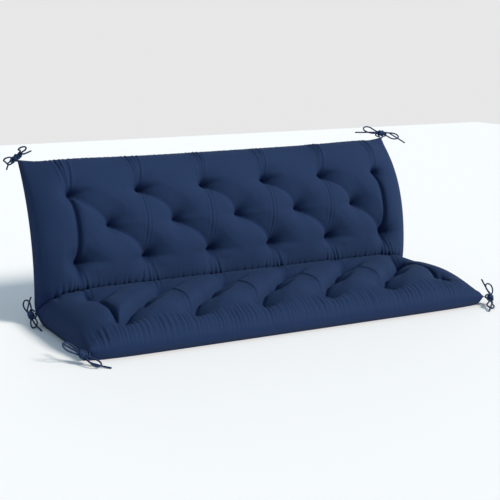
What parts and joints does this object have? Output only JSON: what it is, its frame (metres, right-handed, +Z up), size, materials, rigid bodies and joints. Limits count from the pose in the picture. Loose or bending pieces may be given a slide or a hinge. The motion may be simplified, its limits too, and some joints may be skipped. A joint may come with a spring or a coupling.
{
  "type": "tufted bench cushion",
  "caption": "Padded tufted cushion that covers a bench's seat and back, bent at its cross seam, with fabric ties knotted in bows at its corners and at the bend.",
  "frame": {"origin": "middle of the pad's box, on the surface that the seat half rests on", "axes": "+X along the bench, to the right as seen from the front, +Y from the front edge towards the back, +Z up"},
  "size_m": [1.6629, 0.8588, 0.5887],
  "materials": {
    "navy_cloth": "matt plain weave",
    "navy_tie": "matt plain weave, sewn to a narrow tube"
  },
  "bodies": {
    "root": {"cushion": "navy_cloth", "knot_top_left": "navy_tie", "knot_top_right": "navy_tie", "knot_bend_left": "navy_tie", "knot_bend_right": "navy_tie", "knot_front_left": "navy_tie", "knot_front_right": "navy_tie", "tie_top_left_a": "navy_tie", "tie_top_left_b": "navy_tie", "tie_top_right_a": "navy_tie", "tie_top_right_b": "navy_tie", "tie_bend_left_a": "navy_tie", "tie_bend_left_b": "navy_tie", "tie_bend_right_a": "navy_tie", "tie_bend_right_b": "navy_tie", "tie_front_left_a": "navy_tie", "tie_front_left_b": "navy_tie", "tie_front_right_a": "navy_tie", "tie_front_right_b": "navy_tie"}
  },
  "joints": []
}
